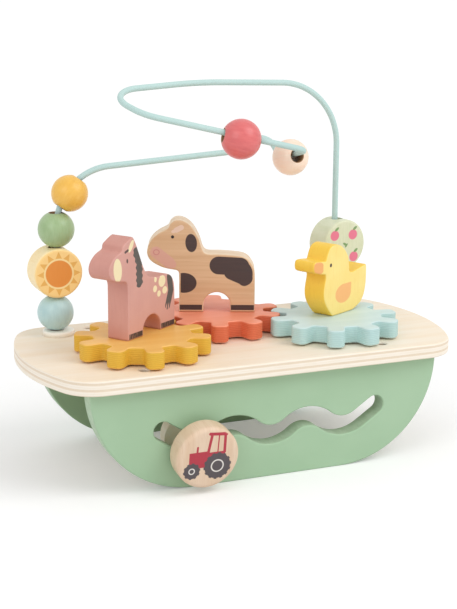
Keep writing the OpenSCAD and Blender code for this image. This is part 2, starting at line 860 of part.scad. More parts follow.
// Beads
module ball(at, way, d) {
    whole()
        along(at, way)
            difference() {
                sphere(d = d);
                translate([0, 0, -d])
                    cylinder(h = 2 * d, d = bead_hole_d);
            }
}

module disc_bead(at, turn, d) {
    whole()
        translate(at)
            rotate(turn)
                difference() {
                    rotate([90, 0, 0])
                        rounded_disc(d, disc_bead_t, disc_bead_round);
                    translate([0, 0, -d])
                        cylinder(h = 2 * d, d = bead_hole_d);
                }
}

module rounded_disc(d, t, r) {
    rotate_extrude()
        union() {
            translate([0, -t / 2])
                square([d / 2 - r, t]);
            translate([0, r - t / 2])
                square([d / 2, t - 2 * r]);
            for (y = [-1, 1])
                translate([d / 2 - r, y * (t / 2 - r)])
                    circle(r = r);
        }
}

module blue_bead() {
    color([0.72, 0.84, 0.85])
        ball(lean(left_foot, blue_bead_z, blue_lean_share), [0, 0, 1], ball_d);
}

module sun_bead() {
    color([0.98, 0.82, 0.48])
        disc_bead(lean(left_foot, sun_bead_z, sun_lean_share), 0, sun_d);
}

module green_bead() {
    color([0.55, 0.68, 0.5])
        ball(lean(left_foot, green_bead_z, green_lean_share), [0, 0, 1], ball_d);
}

module yellow_bead() {
    color([0.93, 0.71, 0.29])
        ball(yellow_bead_at, [sin(yellow_bead_angle), 0, -cos(yellow_bead_angle)], ball_d);
}

module red_bead() {
    color([0.87, 0.42, 0.42])
        ball(red_bead_at, red_way, red_ball_d);
}

module peach_bead() {
    color([0.98, 0.83, 0.74])
        ball(peach_bead_at, peach_way, ball_d);
}

module mint_bead() {
    color([0.74, 0.86, 0.83])
        ball([right_foot[0], right_foot[1], mint_bead_z], [0, 0, 1], mint_ball_d);
}

module apple_bead() {
    color([0.82, 0.87, 0.74])
        disc_bead(lean(right_foot, apple_bead_z, apple_lean_share), apple_turn, apple_d);
}

// Knob in the slot; its own axis runs from the panel middle to the front
module on_peg() {
    whole()
        translate([knob_x, -panel_y, peg_z])
            rotate([90 + knob_droop, 0, 0])
                children();
}

knob_back = panel_t / 2 + knob_gap;
keeper_front = panel_t / 2 + keeper_gap;

module tractor_knob() {
    color([0.91, 0.82, 0.67])
        on_peg()
            difference() {
                translate([0, 0, knob_back + knob_t / 2])
                    rounded_disc(knob_d, knob_t, knob_round);
                translate([0, 0, knob_back - cut])
                    cylinder(h = peg_seat + cut, d = peg_d);
            }
}

module knob_peg() {
    color([0.86, 0.72, 0.52])
        on_peg()
            translate([0, 0, -keeper_front - keeper_t])
                cylinder(h = keeper_t + keeper_front + knob_back + peg_seat, d = peg_d);
}

module knob_keeper() {
    color([0.91, 0.82, 0.67])
        on_peg()
            translate([0, 0, -keeper_front - keeper_t])
                difference() {
                    cylinder(h = keeper_t, d = keeper_d);
                    translate([0, 0, -cut])
                        cylinder(h = keeper_t + 2 * cut, d = peg_d);
                }
}

top_board();
front_panel();
back_panel();
panel_screws();
gear_washers();
yellow_gear();
yellow_axle();
yellow_axle_cap();
horse();
horse_pins();
coral_gear();
coral_axle();
coral_axle_cap();
cow();
cow_pins();
blue_gear();
blue_axle();
blue_axle_cap();
duck();
duck_pins();
wire();
left_ferrule();
right_ferrule();
blue_bead();
sun_bead();
green_bead();
yellow_bead();
red_bead();
peach_bead();
mint_bead();
apple_bead();
tractor_knob();
knob_peg();
knob_keeper();
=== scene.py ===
import math

import bpy
import numpy as np
from mathutils import Matrix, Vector
from mathutils.geometry import tessellate_polygon


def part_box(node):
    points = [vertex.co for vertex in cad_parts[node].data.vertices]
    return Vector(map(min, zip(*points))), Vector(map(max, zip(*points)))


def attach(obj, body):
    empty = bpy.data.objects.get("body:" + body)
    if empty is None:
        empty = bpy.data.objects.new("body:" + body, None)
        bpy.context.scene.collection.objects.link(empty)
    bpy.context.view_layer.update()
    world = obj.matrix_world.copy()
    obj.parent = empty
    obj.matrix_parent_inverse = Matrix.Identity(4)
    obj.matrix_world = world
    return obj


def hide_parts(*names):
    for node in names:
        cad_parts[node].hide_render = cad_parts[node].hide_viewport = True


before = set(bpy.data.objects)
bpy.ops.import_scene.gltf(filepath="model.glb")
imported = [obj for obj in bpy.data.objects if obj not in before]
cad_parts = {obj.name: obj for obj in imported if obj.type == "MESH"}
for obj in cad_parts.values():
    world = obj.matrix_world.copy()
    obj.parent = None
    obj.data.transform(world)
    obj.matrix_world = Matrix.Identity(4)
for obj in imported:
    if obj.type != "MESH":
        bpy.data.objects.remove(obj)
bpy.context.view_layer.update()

bpy.context.scene.view_settings.view_transform = "Standard"

# Camera. The toy is seen from its front left corner and a little from above,
# through a lens of about 59 mm on a sensor 24 mm high, turned by less than half a degree.
azimuth, elevation, roll = np.radians((-23.30537, 13.91963, 0.419596))
look_at = np.array((-0.00341576, 0.00666492, 0.10331480))
stand_off = 1.027546
backward = np.array((math.sin(azimuth) * math.cos(elevation),
                     -math.cos(azimuth) * math.cos(elevation),
                     math.sin(elevation)))
level = np.array((math.cos(azimuth), math.sin(azimuth), 0.0))
upward = np.cross(backward, level)
rightward = level * math.cos(roll) + upward * math.sin(roll)
upward = upward * math.cos(roll) - level * math.sin(roll)
sensor_height = 24.0
focal_px, picture_px = 1500.0, 609.0
lens = bpy.data.cameras.new("camera")
lens.sensor_fit = "VERTICAL"
lens.sensor_height = sensor_height
lens.lens = sensor_height * focal_px / picture_px
camera = bpy.data.objects.new("camera", lens)
bpy.context.scene.collection.objects.link(camera)
pose = np.eye(4)
pose[:3, 0], pose[:3, 1], pose[:3, 2] = rightward, upward, backward
pose[:3, 3] = look_at + stand_off * backward
camera.matrix_world = Matrix(pose.tolist())
bpy.context.scene.camera = camera


# Floor and light. White paper under and behind the toy, an even white room,
# a broad soft lamp high on the front right and a weak one on the left.
class Tone:
    """A socket in a material. Operators add Math nodes, and add() makes any other node."""

    def __init__(self, tree, socket):
        self.tree = tree
        self.socket = socket

    def add(self, kind, settings, sockets, out=0):
        """A node: first its settings, then the value or the link of each named socket."""
        node = self.tree.nodes.new(kind)
        for key, value in settings.items():
            setattr(node, key, value)
        for key, value in sockets.items():
            if isinstance(value, Tone):
                self.tree.links.new(value.socket, node.inputs[key])
            else:
                node.inputs[key].default_value = value
        if isinstance(out, tuple):
            return [Tone(self.tree, node.outputs[o]) for o in out]
        return Tone(self.tree, node.outputs[out])

    def math(self, operation, *values):
        return self.add("ShaderNodeMath", {"operation": operation}, dict(enumerate(values)))

    def __add__(self, other):
        return self.math("ADD", self, other)

    def __radd__(self, other):
        return self.math("ADD", other, self)

    def __sub__(self, other):
        return self.math("SUBTRACT", self, other)

    def __rsub__(self, other):
        return self.math("SUBTRACT", other, self)

    def __mul__(self, other):
        return self.math("MULTIPLY", self, other)

    def __rmul__(self, other):
        return self.math("MULTIPLY", other, self)

    def __truediv__(self, other):
        return self.math("DIVIDE", self, other)

    def __abs__(self):
        return self.math("ABSOLUTE", self)

    def most(self, other):
        return self.math("MAXIMUM", self, other)

    def least(self, other):
        return self.math("MINIMUM", self, other)

    def sine(self):
        return self.math("SINE", self)

    def root(self):
        return self.math("SQRT", self)

    def step(self, low, high):
        """0 below low and 1 above high, or the other way round, with a smooth rise between."""
        ends = {1: low, 2: high, 3: 0.0, 4: 1.0} if low < high else {1: high, 2: low, 3: 1.0, 4: 0.0}
        return self.add("ShaderNodeMapRange", {"interpolation_type": "SMOOTHSTEP"}, {0: self, **ends})

    def mix(self, first, second):
        """The first colour where this is 0, the second where it is 1."""
        return self.add("ShaderNodeMix", {"data_type": "RGBA"}, {0: self, 6: first, 7: second}, 2)

    def axes(self):
        return self.add("ShaderNodeSeparateXYZ", {}, {0: self}, (0, 1, 2))


def shade(red, green, blue):
    """A colour from its three screen values of 0 to 255, made linear."""
    screen = np.array((red, green, blue)) / 255.0
    linear = np.where(screen <= 0.04045, screen / 12.92, ((screen + 0.055) / 1.055) ** 2.4)
    return (*linear.tolist(), 1.0)


def looked_at(tone):
    """1 for a ray of sight, also one by way of gloss or a clear piece, and 0 for gathered light."""
    sight, gloss, clear = tone.add("ShaderNodeLightPath", {}, {}, (0, 3, 6))
    return sight.most(gloss).most(clear)


paper = bpy.data.materials.new("white_paper")
paper.use_nodes = True
paper_tree = paper.node_tree
paper_tree.nodes["Principled BSDF"].inputs["Base Color"].default_value = (0.86, 0.86, 0.86, 1.0)
paper_tree.nodes["Principled BSDF"].inputs["Roughness"].default_value = 0.9
paper_tree.nodes["Principled BSDF"].inputs["Specular IOR Level"].default_value = 0.0
paper_face = Tone(paper_tree, paper_tree.nodes["Principled BSDF"].outputs[0])
paper_spot = paper_face.add("ShaderNodeTexCoord", {}, {}, 3)
paper_x, paper_y, _ = paper_spot.axes()
away = (paper_x * paper_x + paper_y * paper_y).root()
near_glow, middle_glow, far_glow = 0.19, 0.07, 0.14
strength = near_glow + middle_glow * away.step(0.1, 0.6) + far_glow * away.step(0.6, 2.8)
glow = paper_face.add("ShaderNodeEmission", {}, {"Strength": looked_at(paper_face) * strength})
lit = paper_face.add("ShaderNodeAddShader", {}, {0: paper_face, 1: glow})
paper_tree.links.new(lit.socket, paper_tree.nodes["Material Output"].inputs["Surface"])
sheet = bpy.data.meshes.new("floor")
sheet.from_pydata([(-14, -14, 0), (14, -14, 0), (14, 14, 0), (-14, 14, 0)], [], [(0, 1, 2, 3)])
sheet.materials.append(paper)
floor = bpy.data.objects.new("floor", sheet)
bpy.context.scene.collection.objects.link(floor)

room = bpy.data.worlds.new("white_room")
room.use_nodes = True
bpy.context.scene.world = room
air = Tone(room.node_tree, room.node_tree.nodes["Background"].outputs[0])
brightness = 0.71 + 0.29 * looked_at(air)
room.node_tree.links.new(brightness.socket, room.node_tree.nodes["Background"].inputs["Strength"])
room.node_tree.nodes["Background"].inputs["Color"].default_value = (1.0, 1.0, 1.0, 1.0)

for lamp_name, spot, wide, watts in (
        ("key_lamp", (1.2, -1.2, 1.8), 1.7, 20.5),
        ("fill_lamp", (-1.6, -1.0, 1.2), 1.5, 8.5)):
    lamp = bpy.data.lights.new(lamp_name, "AREA")
    lamp.shape = "DISK"
    lamp.size = wide
    lamp.energy = watts
    stand = bpy.data.objects.new(lamp_name, lamp)
    aim = np.array(spot) - np.array((0.0, 0.0, 0.1))
    aim /= np.linalg.norm(aim)
    across = np.cross((0.0, 0.0, 1.0), aim)
    across /= np.linalg.norm(across)
    pose = np.eye(4)
    pose[:3, 0], pose[:3, 1], pose[:3, 2], pose[:3, 3] = across, np.cross(aim, across), aim, spot
    stand.matrix_world = Matrix(pose.tolist())
    bpy.context.scene.collection.objects.link(stand)


# Side panels. Two boat-shaped boards sawn from 13 mm fibreboard, the front one with a wavy
# slot, sprayed in green; the saw-cut edges are eased and take the paint a little paler. The faces
# turned in between the panels are painted a darker green as painted shade.
def border(cad_mesh, facing):
    """The closed loops round the flat face that lies furthest along facing: the edges that only
    one triangle of that face has, followed end to end, with the board on their left."""
    co = np.zeros(len(cad_mesh.vertices) * 3)
    cad_mesh.vertices.foreach_get("co", co)
    co = co.reshape(-1, 3)
    cad_mesh.calc_loop_triangles()
    tri = np.zeros(len(cad_mesh.loop_triangles) * 3, int)
    cad_mesh.loop_triangles.foreach_get("vertices", tri)
    spots, same = np.unique(np.round(co, 6), axis=0, return_inverse=True)
    tri = same.reshape(-1)[tri].reshape(-1, 3)
    reach = spots @ facing
    tri = tri[(reach[tri] > reach.max() - 2e-5).all(1) & (tri != np.roll(tri, 1, 1)).all(1)]
    edges = np.concatenate((tri[:, (0, 1)], tri[:, (1, 2)], tri[:, (2, 0)]))
    code = edges[:, 0] * len(spots) + edges[:, 1]
    lone = edges[~np.isin(code, edges[:, 1] * len(spots) + edges[:, 0])]
    follow = dict(lone.tolist())
    loops = []
    while follow:
        first, here = follow.popitem()
        loop = [first]
        while here != first:
            loop.append(here)
            here = follow.pop(here)
        loops.append(spots[loop])
    size = [abs(np.cross(l - l[0], np.roll(l, -1, 0) - l[0]).sum(0) @ facing) for l in loops]
    return [loops[i] for i in np.argsort(size)[::-1]]


def sawn(node, facing, ease, piece_name, material, body, holes=True, gap=0.0013, turns=5):
    """A board sawn to the outline of a CAD node. The outline runs round the two flat faces, and a
    profile of two quarter rounds of radius ease is carried along it; the faces close its ends."""
    facing = np.array(facing, float)
    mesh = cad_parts[node].data
    loops = border(mesh, facing)
    loops = loops if holes else loops[:1]
    co = np.array([v.co for v in mesh.vertices])
    low, high = (co @ facing).min(), (co @ facing).max()
    u = np.cross((0.0, 0.0, 1.0) if abs(facing[2]) < 0.9 else (0.0, 1.0, 0.0), facing)
    v = np.cross(facing, u)
    phi = np.linspace(0.0, math.pi / 2, turns)
    inset = ease * np.concatenate((1.0 - np.cos(phi[::-1]), 1.0 - np.cos(phi)))
    rise = np.concatenate((low + ease - ease * np.sin(phi[::-1]), high - ease + ease * np.sin(phi)))
    out_part = np.concatenate((np.cos(phi[::-1]), np.cos(phi)))
    up_part = np.concatenate((-np.sin(phi[::-1]), np.sin(phi)))
    rows = len(rise)
    points, normals, faces, rims, first = [], [], [], [], 0
    for loop in loops:
        flat = np.stack((loop @ u, loop @ v), 1)
        way = np.roll(flat, -1, 0) - flat
        cuts = np.maximum(1, np.ceil(np.linalg.norm(way, axis=1) / gap)).astype(int)
        at = np.repeat(np.arange(len(flat)), cuts)
        part = (np.arange(cuts.sum()) - np.repeat(np.cumsum(cuts) - cuts, cuts)) / np.repeat(cuts, cuts)
        flat = flat[at] + part[:, None] * way[at]
        way = np.roll(flat, -1, 0) - flat
        side = np.stack((way[:, 1], -way[:, 0]), 1) / np.linalg.norm(way, axis=1)[:, None]
        out = side + np.roll(side, 1, 0)
        out /= np.linalg.norm(out, axis=1)[:, None]
        mitre = 1.0 / np.maximum(0.55, (out * side).sum(1))
        ring = flat[None] - inset[:, None, None] * (out * mitre[:, None])[None]
        count = len(flat)
        points.append((ring[..., :1] * u + ring[..., 1:] * v + rise[:, None, None] * facing).reshape(-1, 3))
        outward = (out[:, :1] * u + out[:, 1:] * v)[None]
        bent = out_part[:, None, None] * outward + up_part[:, None, None] * facing
        normals.append(bent.reshape(-1, 3))
        i, j = np.meshgrid(np.arange(rows - 1), np.arange(count), indexing="ij")
        k = (j + 1) % count
        quads = np.stack((i * count + j, i * count + k, (i + 1) * count + k, (i + 1) * count + j), -1)
        faces += (quads.reshape(-1, 4) + first).tolist()
        rims.append((first, count, ring[0], ring[-1]))
        first += rows * count
    for last, sign in ((False, -1), (True, 1)):
        flats = [rim[3] if last else rim[2] for rim in rims]
        spots = np.concatenate(flats)
        place = np.concatenate([rim[0] + (rows - 1) * rim[1] * last + np.arange(rim[1]) for rim in rims])
        tri = np.array(tessellate_polygon([np.pad(f, ((0, 0), (0, 1))).tolist() for f in flats]))
        a, b, c = spots[tri[:, 0]], spots[tri[:, 1]], spots[tri[:, 2]]
        turn = (b - a)[:, 0] * (c - a)[:, 1] - (b - a)[:, 1] * (c - a)[:, 0]
        tri = np.where((turn * sign > 0)[:, None], tri, tri[:, ::-1])
        faces += place[tri].tolist()
    return laid_down(piece_name, np.concatenate(points), faces, material, body, (node,),
                     np.concatenate(normals))


def laid_down(piece_name, points, faces, material, body, replaced, normals=None):
    """A mesh object at the origin from its points and faces, riding on its body."""
    mesh = bpy.data.meshes.new(piece_name)
    mesh.from_pydata(points.tolist(), [], faces)
    mesh.shade_smooth()
    if normals is not None:
        mesh.normals_split_custom_set_from_vertices(normals.tolist())
    mesh.materials.append(material)
    piece = bpy.data.objects.new(piece_name, mesh)
    bpy.context.scene.collection.objects.link(piece)
    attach(piece, body)
    if replaced:
        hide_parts(*replaced)
    return piece


def new_finish(finish_name, **constants):
    """A material with its constant sockets set, and the object's coordinates as a Tone."""
    material = bpy.data.materials.new(finish_name)
    material.use_nodes = True
    for key, value in constants.items():
        material.node_tree.nodes["Principled BSDF"].inputs[key.replace("_", " ")].default_value = value
    coords = material.node_tree.nodes.new("ShaderNodeTexCoord")
    return material, Tone(material.node_tree, coords.outputs["Object"])


def set_out(where, middle, turn=(0.0, 0.0, 0.0)):
    """Coordinates in millimetres from a middle, along axes turned by the three angles."""
    return where.add("ShaderNodeMapping", {"vector_type": "TEXTURE"},
                     {"Vector": where, "Location": tuple(middle), "Rotation": tuple(turn),
                      "Scale": (0.001, 0.001, 0.001)})


def mottle(where, size, detail=3.0, rough=0.5):
    """Noise of 0 to 1 with patches of the given size along the three axes, in millimetres."""
    scaled = where.add("ShaderNodeMapping", {"vector_type": "TEXTURE"},
                       {"Vector": where, "Scale": tuple(size)})
    return where.add("ShaderNodeTexNoise", {},
                     {"Vector": scaled, "Scale": 1.0, "Detail": detail, "Roughness": rough})


def coat_with(material, colour, roughness=None, height=None, lift=0.0001):
    """Links what varies to the shader: colour, roughness, and a height times lift in metres."""
    tree = material.node_tree
    shader = tree.nodes["Principled BSDF"]
    tree.links.new(colour.socket, shader.inputs["Base Color"])
    if roughness is not None:
        tree.links.new(roughness.socket, shader.inputs["Roughness"])
    if height is not None:
        bump = height.add("ShaderNodeBump", {}, {"Strength": 1.0, "Distance": lift, "Height": height})
        tree.links.new(bump.socket, shader.inputs["Normal"])


for panel, inner_sign in (("front_panel", 1.0), ("back_panel", -1.0)):
    low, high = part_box(panel)
    green, where = new_finish(panel + "_green", IOR=1.45)
    spot = set_out(where, ((low + high) / 2)[:])
    x, y, z = spot.axes()
    rim = abs(y).step(6.1, 5.2)
    cloud = mottle(spot, (60.0, 60.0, 40.0))
    speck = mottle(spot, (0.7, 0.7, 0.7), 2.0)
    fur = mottle(spot, (2.5, 9.0, 2.5), 3.0, 0.6)
    face = cloud.step(0.3, 0.75).mix(shade(163, 194, 160), shade(170, 200, 167))
    # Painted shade: the face turned in between the panels is darkened as if it lay in shade there.
    shaded_inner_face = (inner_sign * y).step(5.9, 6.4)
    face = shaded_inner_face.mix(face, shade(150, 178, 140))
    edge = fur.step(0.35, 0.7).mix(shade(187, 208, 182), shade(173, 197, 166))
    colour = (0.85 * rim).mix(face, edge)
    colour = (0.10 * speck.step(0.62, 0.8)).mix(colour, shade(140, 170, 138))
    coat_with(green, colour, 0.40 + 0.16 * speck + 0.10 * rim, 0.5 * speck + 0.8 * rim * fur, 0.00006)
    sawn(panel, (0.0, -inner_sign, 0.0), 0.0011, panel + "_board", green, "base")


# Top board. Birch plywood of 10 mm, sanded and lightly oiled: long pale grain on the face,
# and five plies in the edge, the crosswise ones darker because they show their end grain.
def planks(spot, pale, warm, dark, grain=(160.0, 11.0, 60.0), fibre=(26.0, 0.55, 8.0)):
    """Wood colour and its height: broad streaks and fine fibres, both drawn out along the grain."""
    wander = mottle(spot, tuple(3.0 * g for g in grain), 2.0)
    bent = spot.add("ShaderNodeVectorMath", {"operation": "ADD"}, {0: spot, 1: wander.mix(
        (-3.0, -3.0, -3.0, 1.0), (3.0, 3.0, 3.0, 1.0))})
    streak = mottle(bent, grain, 3.0, 0.55)
    hair = mottle(bent, fibre, 2.0, 0.6)
    tone = streak.step(0.3, 0.72).mix(pale, warm)
    return (0.55 * hair.step(0.52, 0.80)).mix(tone, dark), hair


low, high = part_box("top_board")
birch, where = new_finish("birch_ply", IOR=1.45)
spot = set_out(where, ((low + high) / 2)[:])
x, y, z = spot.axes()
veneer, hair = planks(spot, shade(249, 237, 219), shade(246, 229, 204), shade(237, 213, 181))
wave = z + 0.5 * mottle(spot, (50.0, 50.0, 30.0)) - 0.25
ply = (wave * (math.pi / 2.05)).sine()
end_grain = mottle(spot, (0.5, 0.5, 0.35), 2.0)
crosswise = end_grain.step(0.3, 0.75).mix(shade(240, 224, 203), shade(231, 212, 187))
lengthwise = mottle(spot, (14.0, 14.0, 0.4), 2.0).step(0.35, 0.7).mix(
    shade(252, 243, 230), shade(248, 236, 218))
edge = ply.step(-0.55, -0.15).mix(crosswise, lengthwise)
glue = (abs(abs(wave) - 1.03)).least(abs(abs(wave) - 3.05)).step(0.12, 0.03)
edge = (0.25 * glue).mix(edge, shade(196, 170, 136))
rim = abs(z).step(4.75, 4.2)
colour = rim.mix(veneer, edge)
coat_with(birch, colour, 0.46 + 0.14 * hair + 0.08 * rim, hair + 0.6 * rim * ply, 0.00005)
sawn("top_board", (0.0, 0.0, 1.0), 0.0012, "ply_board", birch, "base")


# Screws and washers. Four steel countersunk screws hold the board on the panels, deep in their
# holes; thin pale plastic washers keep the gears off the board.
def dress(node, material):
    """Gives a CAD solid that is shown as it is its finish."""
    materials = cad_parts[node].data.materials
    materials.clear()
    materials.append(material)


steel, where = new_finish("screw_steel", Metallic=0.2, Specular_IOR_Level=0.2)
spot = set_out(where, (0.0, 0.0, 0.0))
brush = mottle(spot, (0.3, 3.0, 0.3), 2.0)
coat_with(steel, brush.mix(shade(62, 48, 38), shade(84, 67, 54)), 0.55 + 0.2 * brush)
dress("panel_screws", steel)
nylon, where = new_finish("washer_plastic", IOR=1.5)
spot = set_out(where, (0.0, 0.0, 0.0))
speck = mottle(spot, (1.2, 1.2, 1.2), 2.0)
coat_with(nylon, speck.mix(shade(226, 222, 214), shade(236, 233, 226)), 0.42 + 0.1 * speck)
dress("gear_washers", nylon)


# Gears. Three ten-tooth wheels cut from plywood of about 12 mm and sprayed: the paint lies smooth
# on the faces, and soaks into the edges, where the thin plies still show as fine lines. The edge
# colours are also darker than the faces as painted shade, for upright sides that take less light.
for gear, body, slot_name, face_pair, soaked_and_shaded_edge_pair in (
        ("yellow_gear", "horse_wheel", "yellow_paint",
         ((244, 194, 108), (238, 183, 92)), ((233, 186, 65), (217, 167, 47))),
        ("coral_gear", "cow_wheel", "coral_paint",
         ((249, 160, 130), (243, 149, 116)), ((226, 117, 80), (210, 98, 62))),
        ("blue_gear", "duck_wheel", "light_blue_paint",
         ((207, 229, 228), (198, 223, 222)), ((192, 223, 221), (173, 208, 207)))):
    low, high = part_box(gear)
    middle = (low + high) / 2
    coat, where = new_finish(gear + "_paint", IOR=1.45)
    spot = set_out(where, middle[:])
    x, y, z = spot.axes()
    tone, hair = planks(spot, shade(*face_pair[0]), shade(*face_pair[1]), shade(*face_pair[1]))
    wave = z + 0.22 * mottle(spot, (24.0, 24.0, 8.0))
    lines = (wave * (2.0 * math.pi / 1.25)).sine()
    fur = mottle(spot, (1.6, 1.6, 0.5), 2.0, 0.6)
    # The edge colour is partly paint soaked into the plies and partly painted shade on the upright sides.
    edge = (0.65 * lines.step(0.1, 0.9) + 0.35 * fur).mix(shade(*soaked_and_shaded_edge_pair[0]), shade(*soaked_and_shaded_edge_pair[1]))
    rim = abs(z).step(5.45, 4.9)
    coat_with(coat, rim.mix(tone, edge), 0.38 + 0.14 * hair + 0.14 * rim,
              0.6 * hair + rim * (0.9 * lines + 0.6 * fur), 0.00007)
    sawn(gear, (0.0, 0.0, 1.0), 0.0009, gear + "_plate", coat, body, holes=False)


# Axles and caps. Turned beech pegs glued into the gears run through the board; a cap
# glued on each end underneath holds the gear down. The pins of the animals are of the same wood.
def beech_finish(finish_name, middle, turn, grain, fibre,
                 pale=(236, 208, 168), warm=(226, 192, 148), dark=(198, 156, 110)):
    """Beech: straight pinkish grain with short darker flecks."""
    beech, where = new_finish(finish_name, IOR=1.45)
    spot = set_out(where, middle, turn)
    tone, hair = planks(spot, shade(*pale), shade(*warm), shade(*dark), grain, fibre)
    fleck = mottle(spot, tuple(1.5 * f for f in fibre), 1.0).step(0.66, 0.74)
    coat_with(beech, (0.25 * fleck).mix(tone, shade(*dark)), 0.44 + 0.14 * hair, hair, 0.00005)
    return beech


beech = beech_finish("beech", (0.0, 0.0, 0.0), (0.0, 0.0, 0.0), (8.0, 8.0, 90.0), (0.6, 0.6, 16.0))
for turned_node in ("yellow_axle", "yellow_axle_cap", "coral_axle", "coral_axle_cap", "blue_axle",
                    "blue_axle_cap", "horse_pins", "cow_pins", "duck_pins"):
    dress(turned_node, beech)


# Animals. Three figures sawn from 17 mm board, edges eased, pinned and glued on the gears. Their
# marks are stencilled on both flat sides, in a frame that runs from the chest to the rump.
def dot(s, z, at, radii, tilt=0.0, soft=0.16):
    """1 inside an ellipse at a place, with two radii and a tilt in degrees, and 0 outside it."""
    c, d = math.cos(math.radians(tilt)), math.sin(math.radians(tilt))
    a, b = s - at[0], z - at[1]
    p = (a * c + b * d) / radii[0]
    q = (b * c - a * d) / radii[1]
    return (p * p + q * q).root().step(1.0 + soft / min(radii), 1.0 - soft / min(radii))


def bar(s, z, low, high, soft=0.12):
    """1 inside an upright rectangle between two corners, and 0 outside it."""
    a = abs(s - (low[0] + high[0]) / 2).step((high[0] - low[0]) / 2 + soft, (high[0] - low[0]) / 2 - soft)
    b = abs(z - (low[1] + high[1]) / 2).step((high[1] - low[1]) / 2 + soft, (high[1] - low[1]) / 2 - soft)
    return a * b


def stroke(s, z, start, end, width, soft=0.12):
    """1 on a straight stroke with round ends: nearer to the line from start to end than half the width."""
    run = (end[0] - start[0], end[1] - start[1])
    size = run[0] ** 2 + run[1] ** 2
    t = (((s - start[0]) * run[0] + (z - start[1]) * run[1]) / size).most(0.0).least(1.0)
    p, q = s - (start[0] + t * run[0]), z - (start[1] + t * run[1])
    return (p * p + q * q).root().step(width / 2 + soft, width / 2 - soft)


def animal_frame(where, gear, turn, start):
    """Millimetres from the chest, across the board and up from the gear, on the gear's axis."""
    low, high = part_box(gear)
    foot = ((low.x + high.x) / 2, (low.y + high.y) / 2, high.z)
    spot = set_out(where, foot, (0.0, 0.0, math.radians(turn)))
    s, t, z = spot.axes()
    return spot, s + start, t, z


def near_side(turn):
    """The way that the near flat side of an animal faces, from its turn in degrees."""
    return math.sin(math.radians(turn)), -math.cos(math.radians(turn)), 0.0


horse_turn, cow_turn, duck_turn = 34.0, -23.0, 28.0
horse_rose, where = new_finish("horse_paint", IOR=1.45)
spot, s, t, z = animal_frame(where, "yellow_gear", horse_turn, 20.2)
fur = mottle(spot, (1.2, 1.2, 14.0), 3.0, 0.6)
cloud = mottle(spot, (22.0, 22.0, 30.0))
rose = cloud.step(0.3, 0.7).mix(shade(211, 153, 140), shade(203, 143, 131))
rose = (0.30 * fur.step(0.5, 0.8)).mix(rose, shade(190, 129, 117))
flat = abs(t - 4.9).step(7.9, 8.35)
# Painted light: the flat sides are made lighter than the eased edges, as if the lamp fell on them.
rose = (0.3 * flat).mix(rose, shade(227, 185, 177))
cream = dot(s, z, (-10.8, 48.8), (4.3, 7.8), 6.0).most(dot(s, z, (3.6, 62.2), (1.9, 4.4), -34.0))
cream = cream.most(dot(s, z, (37.5, 33.0), (3.9, 3.9))).most(dot(s, z, (30.1, 35.4), (1.5, 1.9)))
cream = cream.most(dot(s, z, (29.6, 29.2), (2.2, 2.3))).most(dot(s, z, (40.6, 26.4), (2.7, 2.5)))
cream = cream.most(dot(s, z, (34.0, 25.2), (2.0, 2.1)))
ragged = s + 0.5 * (z * 1.5).sine()
mane = stroke(ragged, z, (9.2, 57.4), (12.2, 50.0), 6.6).most(
    stroke(ragged, z, (12.2, 50.0), (12.4, 36.8), 6.6))
tail = stroke(s, z, (46.0, 34.6), (47.6, 25.0), 5.8).most(stroke(s, z, (47.6, 25.0), (44.0, 15.4), 6.0))
comb = ((s - 0.22 * z) * 2.6).sine().step(-0.2, 0.5) * z.step(17.5, 14.5)
grey = mane.most(tail * (1.0 - comb))
brush = mottle(spot, (0.6, 0.6, 9.0), 2.0)
hoof = bar(s, z, (0.9, 0.8), (15.4, 4.3)).most(bar(s, z, (36.6, 0.8), (51.9, 4.3)))
ink = dot(s, z, (-0.6, 53.2), (0.9, 1.5), 10.0).most(stroke(s, z, (-2.6, 59.2), (0.2, 60.0), 1.7))
colour = (cream * flat).mix(rose, shade(243, 228, 186))
colour = (grey * flat).mix(colour, brush.step(0.3, 0.7).mix(shade(82, 77, 75), shade(98, 92, 88)))
hoof = hoof * (1.0 - 0.35 * mottle(spot, (0.8, 0.8, 7.0), 2.0).step(0.56, 0.68))
colour = (hoof * flat).mix(colour, shade(70, 55, 52))
colour = (ink * flat).mix(colour, shade(92, 74, 72))
coat_with(horse_rose, colour, 0.42 + 0.14 * fur, fur, 0.00005)
sawn("horse", near_side(horse_turn), 0.0011, "horse_figure", horse_rose, "horse_wheel")

cow_wood, where = new_finish("cow_wood", IOR=1.45)
spot, s, t, z = animal_frame(where, "coral_gear", cow_turn, 25.99)
tone, _ = planks(spot, shade(224, 188, 150), shade(213, 173, 133), shade(196, 153, 113),
                 (150.0, 9.0, 3.4), (30.0, 3.0, 0.55))
edge_tone, hair = planks(spot, shade(238, 216, 188), shade(231, 204, 172), shade(214, 182, 146),
                         (150.0, 9.0, 5.0), (30.0, 0.6, 0.6))
flat = abs(t - 1.6).step(7.9, 8.35)
wood = flat.mix(edge_tone, tone)
brown = dot(s, z, (8.4, 49.0), (4.0, 6.4), 4.0)
brown = brown.most(dot(s, z, (3.4, 20.8), (8.8, 7.1)) * s.step(1.0, 1.3))
saddle = stroke(s, z, (27.4, 33.3), (42.3, 32.6), 12.6).most(dot(s, z, (45.2, 27.2), (5.8, 8.4)))
saddle = saddle.most(stroke(s, z, (36.5, 28.6), (45.6, 24.6), 10.8))
brown = brown.most(saddle)
brown = brown.most(bar(s, z, (-0.1, 1.6), (16.0, 5.3))).most(bar(s, z, (36.0, 1.6), (52.6, 5.3)))
pink = stroke(s, z, (-15.8, 42.4), (-6.8, 35.2), 8.0).most(dot(s, z, (-5.6, 34.4), (4.0, 3.2), -30.0))
pale = stroke(s, z, (-1.8, 58.0), (1.6, 59.8), 3.6).most(dot(s, z, (-3.4, 57.2), (2.0, 1.2), 20.0))
